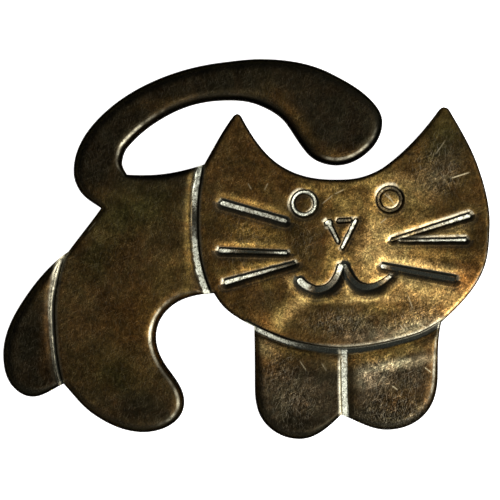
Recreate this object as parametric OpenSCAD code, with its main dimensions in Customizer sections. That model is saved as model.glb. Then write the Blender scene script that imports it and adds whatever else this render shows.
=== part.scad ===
/* [Figure] */
// Width of the figure, from the far foot to the right cheek
fig_w = 52; // [40:1:70]
// Height of the figure, from the left paw to the top of the tail
fig_h = 40.7; // [32:0.1:56]

/* [Sheet] */
// Thickness of the sheet
sheet_t = 0.9; // [0.7:0.05:1.2]
// Depth of the figure, from the rim at the back to the face
fig_depth = 2.2; // [1.9:0.05:3]
// Width of the turned-down edge on the body, seen from the front
roll_w = 1.05; // [0.6:0.05:1.3]
// Height of the turned-down edge on the body
roll_h = 1.35; // [0.8:0.05:1.6]

/* [Set-down lines] */
// Depth of the lines where one form passes under another
step_depth = 0.5; // [0.3:0.05:0.6]
// Depth of the line where the right paw passes under the left one
paw_depth = 0.42; // [0.2:0.02:0.54]
// Width of the steep side of such a line, below the edge of the upper form
step_side = 0.35; // [0.1:0.05:0.5]
// Width of the floor of such a line
step_floor = 0.55; // [0.3:0.05:0.8]
// Width of the soft slope from the floor up to the lower form
step_slope = 0.8; // [0.4:0.05:1.2]
// How far the deeper lines stand out at the back
ridge_h = 0.4; // [0.2:0.05:0.6]

/* [Face marks] */
// Depth of the whiskers, eyes, nose and mouth
mark_depth = 0.35; // [0.2:0.05:0.5]
// Width of a whisker at its broad end
whisker_w = 1; // [0.7:0.05:1.3]
// Middle diameter of the ring of an eye
eye_d = 2.5; // [2:0.05:3]
// Width of the line of an eye
eye_line = 0.6; // [0.4:0.05:0.8]
// Width of the broad strokes of the nose
nose_line = 0.7; // [0.4:0.05:0.9]
// Greatest width of the line of the mouth
mouth_line = 1; // [0.6:0.05:1.2]

/* [Pin] */
// Diameter of the pin's wire
stem_d = 0.9; // [0.7:0.05:1.2]
// Diameter of the hinge and of the catch
barrel_d = 2.2; // [1.8:0.1:2.6]
// Width of the hinge and of the catch, along the pin
barrel_w = 3; // [2:0.1:4]
// Thickness of the foot of the hinge and of the catch
foot_t = 1.2; // [0.8:0.1:1.6]
// How far the hinge and the catch reach behind the rim
barrel_reach = 1.9; // [1.5:0.1:2.6]
// Length of the wire past the middle of the catch
tip_len = 3; // [2:0.1:4]
// Gap of the solder between the feet and the sheet
solder_gap = 0.03; // [0.02:0.01:0.1]

/* [Hidden] */

// The drawing grid that every outline and mark is placed on: 100 wide, 78.2 high
GRID_W = 100;
GRID_H = 78.2;

// Columns of the tables of knots
X = 0;
Y = 1;
HEADING = 2;
SHARE = 3;

// The outline runs clockwise in smooth runs that meet at corners.
// Knots: [across, up, heading in degrees, share of the turned-down edge]
TAIL = [
    [20.2, 47.5, 146, 0.7],
    [15.7, 51.2, 122, 0.9],
    [14.5, 55.0, 91, 1],
    [21.1, 67.4, 42, 1],
    [34.9, 75.2, 19, 1],
    [45.0, 77.5, 7, 1],
    [53.0, 78.2, 0, 1],
    [67.6, 75.2, -27, 1],
    [76.1, 69.4, -48, 1],
    [78.1, 65.0, -92, 1],
    [75.2, 59.1, 222, 1],
    [68.4, 56.3, 178, 1],
    [62.4, 59.0, 130, 1],
    [58.5, 64.6, 125, 1],
    [52.6, 68.7, 158, 1],
    [44.5, 69.6, 183, 1],
    [34.7, 67.0, 207, 1],
    [27.8, 62.4, 223, 1],
    [24.7, 57.0, 264, 0.9],
    [25.5, 54.4, 300, 0.6]
];
BACK = [
    [25.5, 54.4, -3, 0.6],
    [32.5, 54.5, 6, 0.8],
    [41.4, 56.5, 18, 0.6]
];
HEAD = [
    [41.4, 56.5, 60, 0.6],
    [47.1, 66.0, 54, 0.5],
    [48.2, 66.8, 2, 0.28],
    [49.1, 66.2, -62, 0.5],
    [55.0, 57.9, -43, 0.5],
    [62.0, 54.1, -15, 0.5],
    [70.3, 53.4, 2, 0.5],
    [79.1, 56.5, 37, 0.5],
    [89.5, 67.4, 54, 0.5],
    [90.5, 68.2, 2, 0.28],
    [91.8, 67.6, -60, 0.5],
    [97.5, 56.6, -70, 0.5],
    [100.1, 43.6, -92, 0.55],
    [98.7, 34.6, -113, 0.55],
    [90.2, 24.1, -137, 0.55]
];
PAWS_RIGHT = [
    [90.2, 24.1, -104, 0.6],
    [89.5, 13.0, -91, 0.9],
    [87.5, 5.9, -126, 1],
    [79.0, 1.9, 180, 1],
    [69.6, 5.1, 158, 0.6]
];
PAWS_LEFT = [
    [69.6, 5.1, 225, 0.6],
    [61.0, 0, 180, 1],
    [53.4, 4.0, 124, 1],
    [51.8, 11.5, 90, 0.9],
    [51.7, 23.2, 91, 0.6]
];
CHIN_LEFT = [
    [51.7, 23.2, 155, 0.5],
    [46.2, 26.5, 140, 0.5],
    [43.4, 30.0, 122, 0.5]
];
HIND_LEG = [
    [43.4, 30.0, 183, 0.6],
    [37.0, 28.7, 203, 1],
    [31.5, 21.3, 268, 1],
    [34.2, 14.2, -53, 1],
    [37.3, 8.0, -86, 1],
    [28.9, 1.4, 180, 1],
    [18.6, 5.1, 145, 1],
    [12.5, 11.4, 132, 0.7]
];
FAR_LEG = [
    [12.5, 11.4, 204, 0.7],
    [6.2, 8.7, 182, 1],
    [1.9, 10.9, 130, 1],
    [0, 17.2, 91, 1],
    [4.4, 29.0, 56, 1],
    [9.4, 35.2, 45, 0.9],
    [13.5, 38.6, 34, 0.6]
];
RUMP = [
    [13.5, 38.6, 54, 0.6],
    [20.2, 47.5, 55, 0.7]
];
OUTLINE_RUNS = [TAIL, BACK, HEAD, PAWS_RIGHT, PAWS_LEFT, CHIN_LEFT, HIND_LEG, FAR_LEG, RUMP];

// Set-down lines along the edge of the upper form, with the lower form on their left.
// Knots: [across, up, heading in degrees, share of the line's width]
HEAD_OVER_BODY = [
    [43.4, 29.4, 118, 0.8],
    [40.9, 40.0, 95, 1],
    [41.3, 52.4, 83, 1],
    [42.8, 60.0, 78, 0.7]
];
HEAD_OVER_PAWS = [
    [90.5, 25.0, 207, 0.8],
    [80.0, 20.6, 194, 1],
    [69.2, 19.2, 180, 1],
    [59.5, 20.6, 163, 1],
    [50.4, 24.6, 150, 0.8]
];
BODY_OVER_LEG = [
    [13.2, 10.2, 112, 0.7],
    [11.3, 19.5, 94, 0.9],
    [11.1, 28.0, 86, 1],
    [14.4, 40.2, 62, 0.8]
];
PAW_OVER_PAW = [
    [69.0, 18.0, -90, 0.75],
    [69.2, 3.6, -88, 0.75]
];

// Whiskers: [across and up of the broad end, across and up of the narrow end, share of width there]
WHISKERS = [
    [44.9, 48.7, 58.6, 44.9, 0.55],
    [44.1, 38.8, 58.8, 38.4, 0.6],
    [45.5, 32.1, 60.4, 36.4, 0.55],
    [96.0, 46.2, 79.8, 41.1, 0.6],
    [95.2, 41.0, 81.6, 40.9, 0.4],
    [93.0, 32.8, 77.8, 35.6, 0.55]
];

// Middles of the eyes: [across, up]
EYES = [[61.8, 48.5], [79.5, 49.3]];

// Strokes of the nose: [across and up of the start, across and up of the end, share of width]
NOSE = [
    [67.0, 44.8, 69.3, 40.0, 1],
    [72.8, 45.0, 70.2, 39.2, 1],
    [68.4, 44.7, 71.5, 44.8, 0.5]
];

// Arcs of the mouth. Knots: [across, up, heading in degrees, share of width]
MOUTH_LEFT = [
    [60.6, 33.1, -45, 0.55],
    [65.0, 30.9, 8, 1],
    [69.4, 35.8, 66, 0.8]
];
MOUTH_RIGHT = [
    [70.0, 35.8, -65, 0.8],
    [74.3, 30.9, -6, 1],
    [79.4, 33.2, 40, 0.55]
];

// Places of the hinge and the catch, level with each other: [across, up]
HINGE_AT = [26.5, 46.2];
CATCH_AT = [87, HINGE_AT[Y]];

// Longest chord and largest turn between two points of a curve
CHORD_STEP = 2.6;
TURN_STEP = 9;
// Turn between two rings of the turned-down edge
ROLL_STEP = 22.5;
// How far a cutting form runs past the face that it opens
PAST = 0.5;
// Longest reach of a corner, as a multiple of the distance that its sides move
CORNER_REACH = 1.5;
// Share of a set-down line's depth that its slope has risen by a third of the way
SLOPE_SHARE = 0.5;
// Share of a mark's width that its flat floor takes
FLOOR_SHARE = 0.45;

grid = [fig_w / GRID_W, fig_h / GRID_H];

// A place on the grid in millimetres
function place(p) = [p[X] * grid.x, p[Y] * grid.y];

// Unit vector of a heading, and of a line
function way(a) = [cos(a), sin(a)];
function unit(v) = v / max(norm(v), 0.0001);

// Turn from one heading to another, from -180 to 180 degrees
function turn(a, b) =
    let (t = (b - a) % 360)
    t > 180 ? t - 360 : t < -180 ? t + 360 : t;

// Length of a Bezier handle that keeps an arc round, as a share of the arc's chord
function handle(t) = abs(t) < 1 ? 1 / 3 : 2 / 3 * tan(abs(t) / 4) / sin(abs(t) / 2);

// Points from one knot up to the next: [x, y, share], the last one left out
function stretch(a, b) =
    let (
        p = [a[X], a[Y]],
        q = [b[X], b[Y]],
        t = turn(a[HEADING], b[HEADING]),
        reach = norm(q - p) * handle(t),
        c = p + reach * way(a[HEADING]),
        d = q - reach * way(b[HEADING]),
        count = max(1, ceil(abs(t) / TURN_STEP), ceil(norm(place(q - p)) / CHORD_STEP))
    )
    [for (i = [0:count - 1])
        let (
            s = i / count,
            r = 1 - s,
            at = p * pow(r, 3) + c * 3 * r * r * s + d * 3 * r * s * s + q * pow(s, 3)
        )
        [at.x * grid.x, at.y * grid.y, a[SHARE] * r + b[SHARE] * s]];

// Points of a whole run, the last one left out
function run(knots) = [for (i = [0:len(knots) - 2]) each stretch(knots[i], knots[i + 1])];

// Points of a run that ends on its own
function line(knots) =
    let (last = knots[len(knots) - 1])
    [each run(knots), [last[X] * grid.x, last[Y] * grid.y, last[SHARE]]];

function flat(points) = [for (p = points) [p.x, p.y]];

// Normal to the left of a path at point i, longer at a corner so that its sides move evenly
function left_normal(path, i, closed) =
    let (
        n = len(path),
        here = path[i],
        before = i > 0 ? path[i - 1] : closed ? path[n - 1] : 2 * here - path[1],
        after = i < n - 1 ? path[i + 1] : closed ? path[0] : 2 * here - path[n - 2],
        u = unit(here - before),
        v = unit(after - here),
        m = unit([-u.y - v.y, u.x + v.x])
    )
    m / max(m * [-v.y, v.x], 1 / CORNER_REACH);

outline = [for (knots = OUTLINE_RUNS) each run(knots)];
edge = flat(outline);
inward = [for (i = [0:len(edge) - 1]) -left_normal(edge, i, true)];

left_x = min([for (p = edge) p.x]);
right_x = max([for (p = edge) p.x]);
low_y = min([for (p = edge) p.y]);
high_y = max([for (p = edge) p.y]);

// Height of the hollow behind the sheet
hollow_h = fig_depth - sheet_t;

// The hinge and the catch, in the frame of the figure
hinge = place(HINGE_AT);
pin_len = place(CATCH_AT - HINGE_AT).x;
barrel_z = barrel_d / 2 - barrel_reach;

// The brooch lies on its back, on the hinge, the catch and the foot of the left paw
lift_y = hinge.y - low_y;
rest_tilt = atan(-barrel_z / lift_y) + asin(barrel_d / 2 / norm([lift_y, barrel_z]));
wall_top = fig_depth - roll_h;
rest_mid_x = (left_x + right_x) / 2;
rest_mid_y = ((low_y + high_y) * cos(rest_tilt) - wall_top * sin(rest_tilt)) / 2;

// Puts what is drawn in the frame of the figure where it lies at rest
module at_rest() {
    translate([-rest_mid_x, -rest_mid_y, -low_y * sin(rest_tilt)])
        rotate([rest_tilt, 0, 0])
            children();
}

// Two triangles for each side of the tube between ring j and the next ring, n points a ring
function ring_sides(j, n, last) =
    [for (i = [0:last])
        let (a = j * n + i, b = j * n + (i + 1) % n)
        each [[a, b, b + n], [a, b + n, a + n]]];

// Outer form of the figure: its outline, with the edge turned down all round
module outer_form() {
    n = len(edge);
    angles = [for (a = [0:ROLL_STEP:90]) a];
    rings = [
        [for (p = edge) [p.x, p.y, 0]],
        for (a = angles) [for (i = [0:n - 1])
            let (
                share = outline[i][2],
                p = edge[i] + inward[i] * roll_w * share * (1 - cos(a))
            )
            [p.x, p.y, fig_depth - roll_h * share * (1 - sin(a))]]
    ];
    top = len(angles);
    polyhedron(
        points = [for (r = rings) each r],
        faces = [
            [for (i = [n - 1:-1:0]) i],
            for (j = [0:top - 1]) each ring_sides(j, n, n - 1),
            [for (i = [0:n - 1]) top * n + i]
        ],
        convexity = 10
    );
}

// A bar of one section along a path. Section: [distance to the left of the path, height].
// The distance is multiplied by the share at each point of the path
module bar(path, section) {
    n = len(section);
    flat_path = flat(path);
    last = len(path) - 1;
    rings = [for (i = [0:last])
        let (side = left_normal(flat_path, i, false))
        [for (s = section)
            let (p = flat_path[i] + side * s.x * path[i][2])
            [p.x, p.y, s.y]]];
    polyhedron(
        points = [for (r = rings) each r],
        faces = [
            [for (i = [n - 1:-1:0]) i],
            for (j = [0:last - 1]) each ring_sides(j, n, n - 1),
            [for (i = [0:n - 1]) last * n + i]
        ],
        convexity = 6
    );
}

// Cut of a set-down line: a steep side, a floor, and a slope that flattens out on the left
module set_down(knots, depth) {
    floor_z = fig_depth - depth;
    floor_end = step_side + step_floor;
    slope_end = floor_end + step_slope;
    bar(line(knots), [
        [-step_side, fig_depth + PAST],
        [slope_end + step_slope, fig_depth + PAST],
        [slope_end, fig_depth],
        [floor_end + step_slope / 3, floor_z + depth * SLOPE_SHARE],
        [floor_end, floor_z],
        [step_side, floor_z],
        [0, fig_depth]
    ]);
}

// Ridge that a set-down line leaves at the back of the sheet
module ridge(knots, depth) {
    ridge_z = hollow_h - ridge_h * depth / step_depth;
    floor_end = step_side + step_floor;
    bar(line(knots), [
        [-step_side, hollow_h + PAST],
        [floor_end + step_slope, hollow_h + PAST],
        [floor_end + step_slope, hollow_h],
        [floor_end, ridge_z],
        [step_side, ridge_z],
        [-step_side, hollow_h]
    ]);
}

// Section of a punched line of width w: a flat floor between two leaning sides
function mark_section(w) =
    let (floor_half = w * FLOOR_SHARE / 2, lip = PAST * (1 - FLOOR_SHARE) * w / 2 / mark_depth)
    [
        [-w / 2 - lip, fig_depth + PAST],
        [w / 2 + lip, fig_depth + PAST],
        [floor_half, fig_depth - mark_depth],
        [-floor_half, fig_depth - mark_depth]
    ];

// One end of a straight stroke
module stroke_end(at, heading, w) {
    thin = 0.02;
    translate([at.x, at.y, 0])
        rotate([90, 0, heading + 90])
            translate([0, 0, -thin / 2])
                linear_extrude(thin)
                    polygon(mark_section(w));
}

// A straight stroke that narrows from width wa to width wb
module stroke(a, b, wa, wb) {
    v = b - a;
    heading = atan2(v.y, v.x);
    hull() {
        stroke_end(a, heading, wa);
        stroke_end(b, heading, wb);
    }
}

module whisker_cuts() {
    for (w = WHISKERS)
        stroke(place([w[0], w[1]]), place([w[2], w[3]]), whisker_w, whisker_w * w[4]);
}

module nose_cuts() {
    for (s = NOSE)
        stroke(place([s[0], s[1]]), place([s[2], s[3]]), nose_line * s[4], nose_line * s[4]);
}

module mouth_cuts() {
    bar(line(MOUTH_LEFT), mark_section(mouth_line));
    bar(line(MOUTH_RIGHT), mark_section(mouth_line));
}

module eye_cuts() {
    for (e = EYES)
        translate([place(e).x, place(e).y, 0])
            rotate_extrude($fn = 32)
                translate([eye_d / 2, 0])
                    polygon(mark_section(eye_line));
}

// Hollow behind the sheet, with the ridges of the set-down lines left standing in it
module hollow() {
    difference() {
        translate([0, 0, -PAST])
            linear_extrude(hollow_h + PAST)
                offset(delta = -sheet_t)
                    polygon(edge);
        ridge(HEAD_OVER_BODY, step_depth);
        ridge(HEAD_OVER_PAWS, step_depth);
        ridge(BODY_OVER_LEG, step_depth);
        ridge(PAW_OVER_PAW, paw_depth);
    }
}

module cat_figure() {
    color([0.33, 0.23, 0.11])
        at_rest()
            difference() {
                outer_form();
                hollow();
                set_down(HEAD_OVER_BODY, step_depth);
                set_down(HEAD_OVER_PAWS, step_depth);
                set_down(BODY_OVER_LEG, step_depth);
                set_down(PAW_OVER_PAW, paw_depth);
                whisker_cuts();
                eye_cuts();
                nose_cuts();
                mouth_cuts();
            }
}

// Round end of the fitting, on a foot that is soldered to the sheet
module barrel_on_foot() {
    foot_top = hollow_h - solder_gap;
    translate([0, 0, barrel_z])
        rotate([0, 90, 0])
            cylinder(d = barrel_d, h = barrel_w, center = true, $fn = 48);
    translate([-barrel_w / 2, -foot_t / 2, barrel_z])
        cube([barrel_w, foot_t, foot_top - barrel_z]);
}

// Wire from the middle of the hinge through the catch, with a point at its end
module wire() {
    point_len = stem_d;
    round_len = pin_len + tip_len - point_len;
    translate([0, 0, barrel_z])
        rotate([0, 90, 0]) {
            cylinder(d = stem_d, h = round_len, $fn = 32);
            translate([0, 0, round_len])
                cylinder(d1 = stem_d, d2 = stem_d / 4, h = point_len, $fn = 32);
        }
}

module pin_fitting() {
    color([0.72, 0.71, 0.68])
        at_rest()
            translate([hinge.x, hinge.y, 0]) {
                barrel_on_foot();
                translate([pin_len, 0, 0])
                    barrel_on_foot();
                wire();
            }
}

cat_figure();
pin_fitting();
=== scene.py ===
import math

import bpy
import numpy as np
from mathutils import Matrix, Vector, kdtree, noise
from mathutils.geometry import delaunay_2d_cdt


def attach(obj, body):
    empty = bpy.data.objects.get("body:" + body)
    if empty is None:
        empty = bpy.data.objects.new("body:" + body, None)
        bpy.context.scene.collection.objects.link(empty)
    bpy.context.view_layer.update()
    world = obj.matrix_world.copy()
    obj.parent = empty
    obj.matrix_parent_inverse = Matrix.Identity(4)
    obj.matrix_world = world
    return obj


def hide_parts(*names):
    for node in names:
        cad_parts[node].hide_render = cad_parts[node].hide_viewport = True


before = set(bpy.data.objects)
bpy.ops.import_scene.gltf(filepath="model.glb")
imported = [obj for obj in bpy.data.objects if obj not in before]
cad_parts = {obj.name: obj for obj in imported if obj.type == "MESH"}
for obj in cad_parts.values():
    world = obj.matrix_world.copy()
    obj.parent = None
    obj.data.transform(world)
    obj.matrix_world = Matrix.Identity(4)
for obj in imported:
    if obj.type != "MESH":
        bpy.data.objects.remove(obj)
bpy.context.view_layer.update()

# Looks of a cat brooch, pressed and chased from one sheet of silver and long tarnished.
# The figure is drawn in millimetres in its own frame, face up, and is then laid at rest as the CAD lies.

MM = 0.001

# Driving sizes in millimetres, as in the solid
FIG_W = 52
FIG_H = 40.7
SHEET_T = 0.9
FIG_DEPTH = 2.2
STEP_DEPTH = 0.5
PAW_DEPTH = 0.42
RIDGE_H = 0.4
BARREL_D = 2.2
BARREL_REACH = 1.9
# Height of the turned-down edge in the solid, which places the brooch at rest
SOLID_ROLL_H = 1.35

# Sizes that follow the photo more closely than the solid does: the turned-down edge, the depth of
# a punched mark, and the middle diameter of an eye
ROLL_W = 1.15
ROLL_H = 1.5
MARK_DEPTH = 0.3
EYE_D = 2.42

# How much more the edge is turned down where its share is whole than where it is small, as a power
ROLL_POWER = 1.6
# Worn corner of the rim that the brooch lies on
RIM_WEAR = 0.1
# Across a set-down line: its steep side, and the worn lip above it
STEP_SIDE = 0.26
LIP_W = 0.3
LIP_H = 0.06
# How the slope past a set-down line flattens out, as a power, and how far the line fades past its ends
SLOPE_POWER = 2.2
LINE_END = 0.4
# Half-width of the ridge behind a set-down line, and how far it fades at its ends
RIDGE_W = 1.15
RIDGE_END = 0.6
# Width of a punched mark's floor, and of each of its sides, at a width share of one
WHISKER = (0.48, 0.42)
EYE = (0.25, 0.24)
NOSE_LINE = (0.34, 0.17)
MOUTH_LINE = (0.5, 0.42)
# Share by which a mark's shaded side is wider and its lit side narrower: usually, and at the mouth
SHADE_MORE = 0.35
MOUTH_SHADE_MORE = 0.75
# Share of its depth by which a mark's floor leans, and how the sides round off, as a power
MARK_LEAN = 0.2
WALL_POWER = 1.3
# Worn lip around a mark, and the width and depth of the dip pressed around it
MARK_LIP = 0.06
DIP_W = 0.8
DIP_H = 0.09
# Radius of a mark's corners, as a share of half its width
END_ROUND = 0.75
# Slow unevenness: height, size across and seed, of the face for large and small hills, and of the back
HILLS = ((0.03, 7, 1.7), (0.008, 1.6, 5.1))
BACK_HILLS = (0.03, 4, 9.3)
# How far inside the outline the hills grow to their height
HILLS_IN = 2
# Wall of the hollow: where it starts past the rim's width, and how wide it is
HOLLOW_WALL = (-0.06, 0.14)
# How far the edges of marks, wear and painted light wander to either side, the size across and seed of that,
# and the share at a mark
RAGGED = 0.09
RAGGED_SWELL = (0.7, 3.3)
MARK_RAGGED = 0.35

# Way to the key light on the drawing, and way to the shaded side of a mark
LIGHT_WAY = np.array((0.8, -0.6))
SHADE_WAY = np.array((0.34, -0.94))
# How squarely a mark's side has to face the light before it shines, from 0 to 1: usually and at the mouth,
# and over how much more it grows to its full shine
LIT_FROM = 0.3
MOUTH_LIT_FROM = 0.7
LIT_OVER = 0.3
# Shine of the upper side of the nose's strokes
NOSE_LIP = 0.1
# Width and shine of an eye's inner side as a share of the outer one's, shine of its sides as a share of
# that of its lips, and shares of the dip inside and outside the ring
EYE_INNER = 0.6
EYE_FACET = 0.1
EYE_DIPS = (0.3, 0.7)
# Strips along a mark, each by its middle past the side, its spread and its strength: a painted shadow below
# it, a painted golden highlight above it, a painted golden highlight all round it, and a painted golden glow
# below the mouth
MARK_SHADOW = (0.2, 0.15, 0.45)
MARK_GLOW = (0.2, 0.28, 0.85)
MARK_RING = (0.1, 0.07, 0.45)
MOUTH_GLOW = (0.36, 0.2, 1)
# How far the painted shade fades up a mark's shaded side
SIDE_FADE = 0.65
# Distance that counts as none: nothing is divided by a smaller one, and no vertex stands nearer the rim
NEAR = 0.02
# Added to the end of a range, so that the end is in it
TINY = 0.001

# Spacing of the mesh in millimetres: along the outline, along a line, over the face and over the back
EDGE_STEP = 0.17
LINE_STEP = 0.15
FACE_STEP = 0.22
BACK_STEP = 0.45
# Closest that two vertices of one sheet may lie
CLOSE = 0.04
# Angle in degrees from which an edge between two faces is shaded sharp
SHARP = 58
# Rows of vertices: angles round the turned-down edge, distances across the steep side of a set-down line
# and past its floor, distances outside the floor of a mark, inward and outward of the hollow's wall,
# across a ridge, and heights of the outer wall as shares
EDGE_ANGLES = (14, 26, 38, 50, 62, 75, 90)
SIDE_ROWS = (-LIP_W, -0.12, 0, 0.07, 0.13, 0.2, STEP_SIDE)
SLOPE_ROWS = (0.1, 0.2, 0.32, 0.46, 0.62, 0.8)
MARK_ROWS = (0, -0.07, -0.15, 0.06, 0.13, 0.2, 0.27, 0.34, 0.4, 0.46, 0.53, 0.62, 0.75, 0.92, 1.1)
HOLLOW_ROWS = (-0.12, -0.05, 0, 0.06, 0.16, 0.3)
RIDGE_ROWS = (-1.1, -0.8, -0.5, -0.25, 0, 0.25, 0.5, 0.8, 1.1)
WALL_ROWS = (0.75, 0.5, 0.25, 0)

# The drawing grid is 100 wide and 78.2 high
GRID = np.array([FIG_W / 100, FIG_H / 78.2])

# Outline, clockwise, in smooth runs. Knots: across, up, heading, share of the turned-down edge,
# and how bright that edge is worn and painted with a highlight where it faces the light
OUTLINE_RUNS = {
    "tail": [
        (20.2, 47.5, 146, 0.7, 0), (15.7, 51.2, 122, 0.9, 0), (14.5, 55, 91, 1, 0), (21.1, 67.4, 42, 1, 0),
        (34.9, 75.2, 19, 1, 0), (45, 77.5, 7, 1, 0), (53, 78.2, 0, 1, 0), (67.6, 75.2, -27, 1, 0),
        (76.1, 69.4, -48, 1, 0), (78.1, 65, -92, 1, 0.1), (75.2, 59.1, 222, 1, 0.6),
        (68.4, 56.3, 178, 1, 0.9), (62.4, 59, 130, 1, 0.3), (58.5, 64.6, 125, 1, 0.3),
        (52.6, 68.7, 158, 1, 0.12), (44.5, 69.6, 183, 1, 0.1), (34.7, 67, 207, 1, 0.12),
        (25.7, 60.1, 230, 1, 0.9), (24.5, 57, 264, 0.9, 0.4), (25.5, 54.4, 300, 0.6, 0.3)],
    "back": [
        (25.5, 54.4, -3, 0.6, 0), (32.5, 54.5, 6, 0.8, 0), (41.4, 56.5, 18, 0.6, 0.2)],
    "head": [
        (41.4, 56.5, 60, 0.6, 0), (47.1, 66, 54, 0.5, 0), (48.2, 66.8, 2, 0.28, 0),
        (49.1, 66.2, -62, 0.5, 0), (55, 57.9, -43, 0.5, 0), (62, 54.1, -15, 0.5, 0),
        (70.3, 53.4, 2, 0.5, 0), (79.1, 56.5, 37, 0.5, 0), (89.5, 67.4, 54, 0.5, 0),
        (90.5, 68.2, 2, 0.28, 0.1), (91.8, 67.6, -60, 0.5, 0.1), (97.5, 56.6, -70, 0.5, 0.15),
        (100.1, 43.6, -92, 0.55, 0.3), (98.7, 34.6, -113, 0.55, 0.6), (90.2, 24.1, -137, 0.55, 0.8)],
    "right_paw": [
        (90.2, 24.1, -104, 0.6, 0.8), (89.5, 13, -91, 0.9, 0.85), (87.5, 5.9, -126, 1, 0.05),
        (79, 1.9, 180, 1, 0.1), (69.6, 5.1, 158, 0.6, 0)],
    "left_paw": [
        (69.6, 5.1, 225, 0.6, 0), (61, 0, 180, 1, 0), (53.4, 4, 124, 1, 0.3), (51.8, 11.5, 90, 0.9, 0.5),
        (51.7, 23.2, 91, 0.6, 0)],
    "chin": [
        (51.7, 23.2, 155, 0.5, 0.1), (46.2, 26.5, 140, 0.5, 0.2), (43.4, 30, 122, 0.5, 0.2)],
    "hind_leg": [
        (43.4, 30, 183, 0.6, 0.3), (37, 28.7, 203, 1, 0.2), (31.5, 21.3, 268, 1, 1),
        (34.2, 14.2, -53, 1, 0.7), (37.3, 8, -86, 1, 0.8), (28.9, 1.4, 180, 1, 0.1),
        (18.6, 5.1, 145, 1, 0), (12.5, 11.4, 132, 0.7, 0)],
    "far_leg": [
        (12.5, 11.4, 204, 0.7, 0.3), (6.2, 8.7, 182, 1, 0), (1.9, 10.9, 130, 1, 0), (0, 17.2, 91, 1, 0),
        (4.4, 29, 56, 1, 0), (9.4, 35.2, 45, 0.9, 0), (13.5, 38.6, 34, 0.6, 0)],
    "rump": [
        (13.5, 38.6, 54, 0.6, 0), (20.2, 47.5, 55, 0.7, 0)],
}

# Set-down lines along the edge of the upper form, with the lower form on their left.
# Each: depth, width of its floor and of the slope past it, painted glow and painted shade on that slope, from
# where to where across the floor it may be bright, and the knots.
# Knots: across, up, heading, share of the widths, brightness of the floor, strength of the painted highlight,
# partly wear, where the slope starts, and of the painted highlight, partly wear, on the upper form's edge
SET_DOWN = {
    "head_over_body": (STEP_DEPTH, 0.74, 1.2, 1, 0.25, (0.1, 1), [
        (43.6, 29.4, 118, 0.9, 1.15, 0.1, 0), (40.6, 40, 95, 0.85, 0.9, 0.15, 0.1),
        (40.4, 45.2, 89.5, 0.85, 0.1, 0.2, 0.1), (40.65, 50.4, 83, 0.85, 0.9, 0.2, 0.1),
        (42.3, 60, 77, 0.7, 1, 0.2, 0)]),
    "head_over_paws": (STEP_DEPTH, 0.72, 1.2, 1, 0.12, (0, 0.75), [
        (90.5, 25, 207, 0.7, 0.35, 0, 0.5), (86.5, 22.6, 205, 0.7, 0.15, 0, 0.7),
        (80, 20.6, 194, 0.8, 0, 0, 0.6), (69.2, 19.2, 180, 0.85, 0, 0.2, 0.3),
        (63.5, 19.8, 170, 0.85, 0.1, 0, 0), (57, 21.5, 158, 0.85, 0.75, 0, 0),
        (50.4, 24.6, 150, 0.85, 1.05, 0.1, 0)]),
    "body_over_leg": (STEP_DEPTH, 0.3, 1, 0.3, 0.3, (0, 1), [
        (13.2, 10.2, 112, 0.7, 0, 0.5, 0), (11.3, 19.5, 94, 0.9, 0, 0.6, 0.1),
        (11.1, 28, 86, 1, 0, 0.8, 0.1), (11.8, 33, 80, 0.9, 0, 1.1, 0.1),
        (14.4, 40.2, 62, 0.7, 0, 1.3, 0.1)]),
    "paw_over_paw": (PAW_DEPTH, 0.84, 1.1, 0.5, 0.35, (0, 1), [
        (69.2, 18, -90, 0.75, 1.15, 0, 1), (69.5, 3.6, -88, 0.75, 1.2, 0, 1)]),
}

# Whiskers: across and up of the outer end, the same of the inner end, share of the width at each end,
# brightness of the floor at the outer end, in the middle and at the inner end, and of the painted highlight
# on the upper side. The floor's brightness is bare silver, partly a painted reflection.
# Less than no brightness keeps the floor black for longer
WHISKERS = [
    (44.9, 48.6, 58.4, 44.8, 0.95, 0.8, 1.1, 0.8, 0.7, 0),
    (44.5, 38.8, 58.4, 38.3, 0.75, 0.45, 1.05, -0.15, 1.05, 0),
    (45.7, 32.2, 60, 36.2, 0.9, 0.4, 0.85, 0.75, 0.2, 0.1),
    (96, 46, 79.8, 40.9, 0.8, 0.35, 0.8, 0.65, 0.3, 0.7),
    (95.2, 41, 81.6, 40.8, 0.55, 0.35, 1, 0.85, 0.4, 0.6),
    (93, 32.8, 77.8, 35.6, 1.15, 0.8, -0.3, -2.4, 1.05, 0.3),
]

# Eyes: across, up, brightness of the floor, strength of the painted highlight, partly wear, on the sides that
# face the light, heading from that light
EYES = [(61.9, 48.5, 1.05, 0.6, -25), (79.5, 49.3, 0.4, 0.9, -68)]

# Strokes of the nose: across and up of each end, width there as shares, brightness of the floor
NOSE = [
    (66.8, 44.9, 67.1, 44, 2.1, 1.9, 0.95), (67.1, 44.2, 69, 40.4, 1.15, 0.6, 0.9),
    (72.6, 45.2, 69.6, 39.2, 1, 0.9, 0.85), (68.8, 44.9, 71.6, 45.1, 0.9, 0.9, 0.4),
]

# Arcs of the mouth: brightness of the upper side, and the knots.
# Knots: across, up, heading, share of width, brightness of the floor
MOUTH = [
    (0.2, [(60.8, 32.9, -50, 1.1, 1.05), (62.4, 31.5, -28, 1.3, 1), (64.9, 30.75, 6, 1.25, -0.2),
           (68.3, 32.9, 60, 1.1, 0.5), (69.5, 35.9, 80, 1, 0.95)]),
    (0.2, [(70.2, 35.9, -68, 0.75, 0.6), (74.4, 31.3, -6, 1.25, -0.6), (79.7, 33.6, 40, 0.65, 0.8)]),
]

# Place of the hinge on the grid
HINGE_AT = (26.5, 46.2)

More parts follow.
